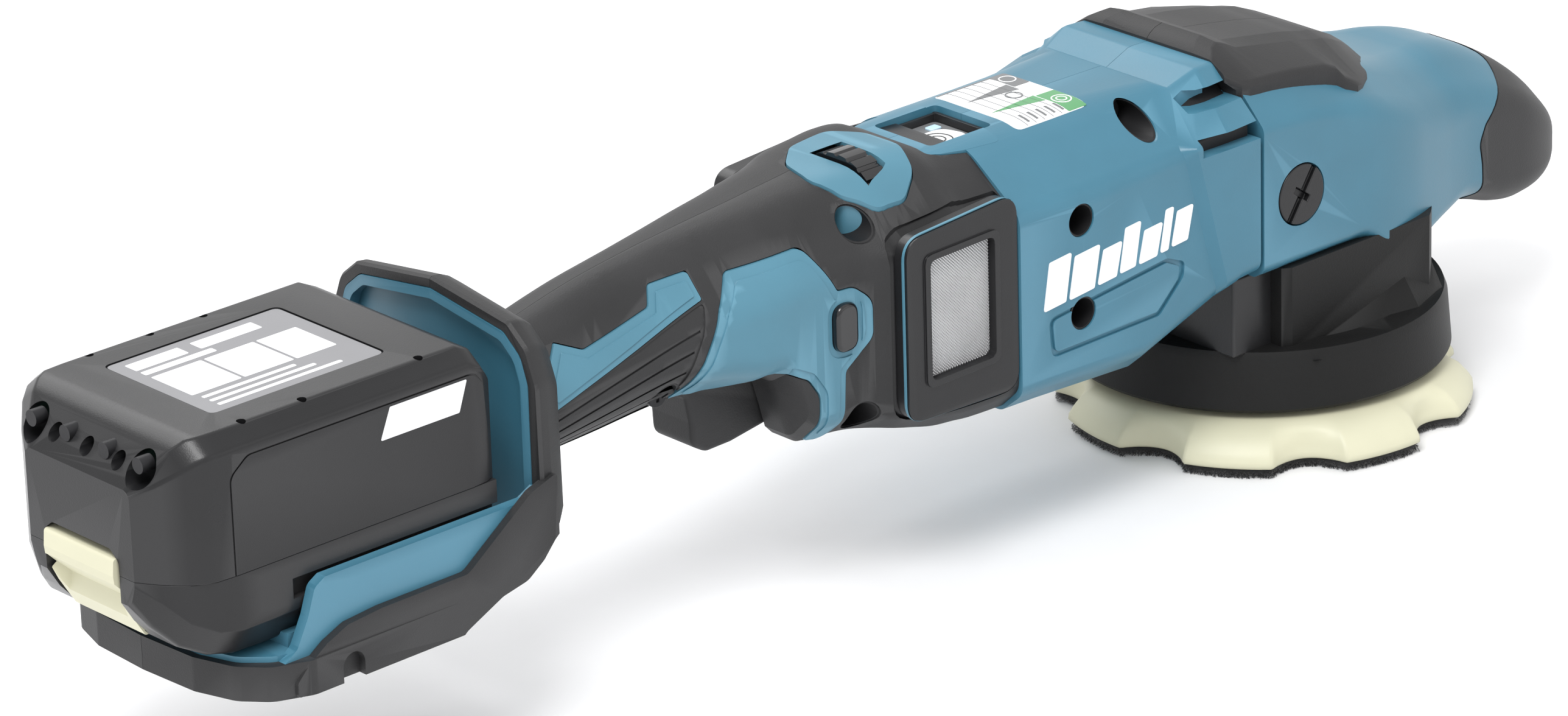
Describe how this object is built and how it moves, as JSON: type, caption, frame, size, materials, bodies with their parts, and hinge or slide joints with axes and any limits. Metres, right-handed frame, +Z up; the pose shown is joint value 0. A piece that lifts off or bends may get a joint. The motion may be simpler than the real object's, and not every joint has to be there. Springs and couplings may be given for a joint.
{
  "type": "dual action polisher",
  "caption": "Cordless dual action polisher with a rear battery bay, slim rubber handle, in-line motor, bevel gear head, round skirt and scalloped hook-faced backing pad.",
  "frame": {"origin": "on the spindle axis, in the plane of the backing pad's hook face", "axes": "+X from the battery to the nose, +Y to the tool's left, +Z up along the spindle axis away from the pad face"},
  "size_m": [0.5445, 0.1259, 0.129],
  "materials": {
    "teal_plastic": "satin moulded",
    "teal_trim": "satin moulded",
    "black_rubber": "soft matte overmould",
    "black_plastic": "fine texture",
    "gloss_black": "gloss",
    "cream_plastic": "satin",
    "hook_fabric": "hook and loop",
    "steel": "machined",
    "aluminium": "cast",
    "copper": "enamelled wire",
    "brass": "plated",
    "board": "printed circuit board",
    "cell_wrap": "shrink wrap",
    "white_label": "printed film",
    "lamp_lens": "clear diffuser",
    "grey_plastic": "satin"
  },
  "bodies": {
    "tool": {"housing_left": "teal_plastic", "housing_right": "teal_plastic", "grip_left": "black_rubber", "grip_right": "black_rubber", "inlay_left": "teal_trim", "inlay_right": "teal_trim", "side_panel_left": "teal_plastic", "side_panel_right": "teal_plastic", "bay_bumper": "black_rubber", "terminal_block": "black_plastic", "terminal_blades": "brass", "switch_unit": "black_plastic", "controller": "board", "heat_sink": "aluminium", "dial_bezel": "teal_trim", "dial_board": "board", "mode_panel": "gloss_black", "mode_lamp": "lamp_lens", "speed_chart": "white_label", "side_bands": "white_label", "housing_screws": "steel", "stator_core": "steel", "stator_coils": "copper", "motor_bearings": "steel", "gear_housing": "aluminium", "gear_screws": "steel", "spindle_bearings": "steel", "head_cover": "teal_plastic", "top_grip": "black_rubber", "nose_grip": "black_rubber", "skirt": "black_plastic"},
    "battery": {"battery_upper": "black_plastic", "battery_lower": "black_plastic", "battery_labels": "white_label", "battery_cells": "cell_wrap", "battery_contacts": "brass", "battery_screws": "steel"},
    "release": {"release_button": "cream_plastic"},
    "trigger_lever": {"trigger": "black_plastic"},
    "lock": {"lock_button": "gloss_black"},
    "dial": {"speed_dial": "black_plastic"},
    "mode": {"mode_button": "grey_plastic"},
    "rotor": {"rotor_shaft": "steel", "rotor_core": "steel", "fan": "black_plastic", "bevel_pinion": "steel"},
    "spindle_group": {"spindle": "steel", "bevel_gear": "steel", "counterweight": "steel", "orbit_bearings": "steel"},
    "pad_group": {"pad_stem": "steel", "backing_pad": "cream_plastic", "hook_layer": "hook_fabric", "pad_bolt": "steel"},
    "cover_left": {"dust_frame_left": "black_plastic", "dust_mesh_left": "steel"},
    "cover_right": {"dust_frame_right": "black_plastic", "dust_mesh_right": "steel"},
    "plug_l": {"plug_left": "black_plastic"},
    "plug_r": {"plug_right": "black_plastic"}
  },
  "joints": [
    {"name": "battery_slide", "type": "slide", "parent": "tool", "child": "battery", "axis": [-1, 0, 0], "range_m": [0, 0.12]},
    {"name": "release_slide", "type": "slide", "parent": "battery", "child": "release", "axis": [0, 0, 1], "range_m": [0, 0.0035], "stiffness_N_per_m": 1500},
    {"name": "trigger_hinge", "type": "hinge", "parent": "tool", "child": "trigger_lever", "pos_m": [-0.231, 0, 0.0743], "axis": [0, -1, 0], "range_deg": [0, 5], "stiffness_Nm_per_rad": 6, "springref_deg": -3.44},
    {"name": "lock_slide", "type": "slide", "parent": "tool", "child": "lock", "axis": [0, 1, 0], "range_m": [0, 0.003], "stiffness_N_per_m": 800},
    {"name": "dial_hinge", "type": "hinge", "parent": "tool", "child": "dial", "pos_m": [-0.166, -0.007, 0.104], "axis": [1, 0, 0], "range_deg": [-135, 135]},
    {"name": "mode_slide", "type": "slide", "parent": "tool", "child": "mode", "axis": [0, 0, -1], "range_m": [0, 0.001], "stiffness_N_per_m": 900},
    {"name": "spindle_spin", "type": "hinge", "parent": "tool", "child": "spindle_group", "pos_m": [0, 0, 0.06], "axis": [0, 0, 1], "continuous": true},
    {"name": "rotor_spin", "type": "hinge", "parent": "tool", "child": "rotor", "pos_m": [-0.08, 0, 0.078], "axis": [1, 0, 0], "continuous": true},
    {"name": "pad_spin", "type": "hinge", "parent": "spindle_group", "child": "pad_group", "pos_m": [-0.00386, -0.00643, 0.02], "axis": [0, 0, 1], "continuous": true},
    {"name": "cover_left_pull", "type": "slide", "parent": "tool", "child": "cover_left", "axis": [0, 1, 0], "range_m": [0, 0.015]},
    {"name": "cover_right_pull", "type": "slide", "parent": "tool", "child": "cover_right", "axis": [0, -1, 0], "range_m": [0, 0.015]},
    {"name": "plug_left_turn", "type": "hinge", "parent": "tool", "child": "plug_l", "pos_m": [-0.025, 0.04, 0.079], "axis": [0, 1, 0], "range_deg": [0, 720]},
    {"name": "plug_right_turn", "type": "hinge", "parent": "tool", "child": "plug_r", "pos_m": [-0.025, -0.04, 0.079], "axis": [0, -1, 0], "range_deg": [0, 720]}
  ],
  "couplings": [
    {"joint": "rotor_spin", "follows": "spindle_spin", "ratio": -2.5}
  ]
}
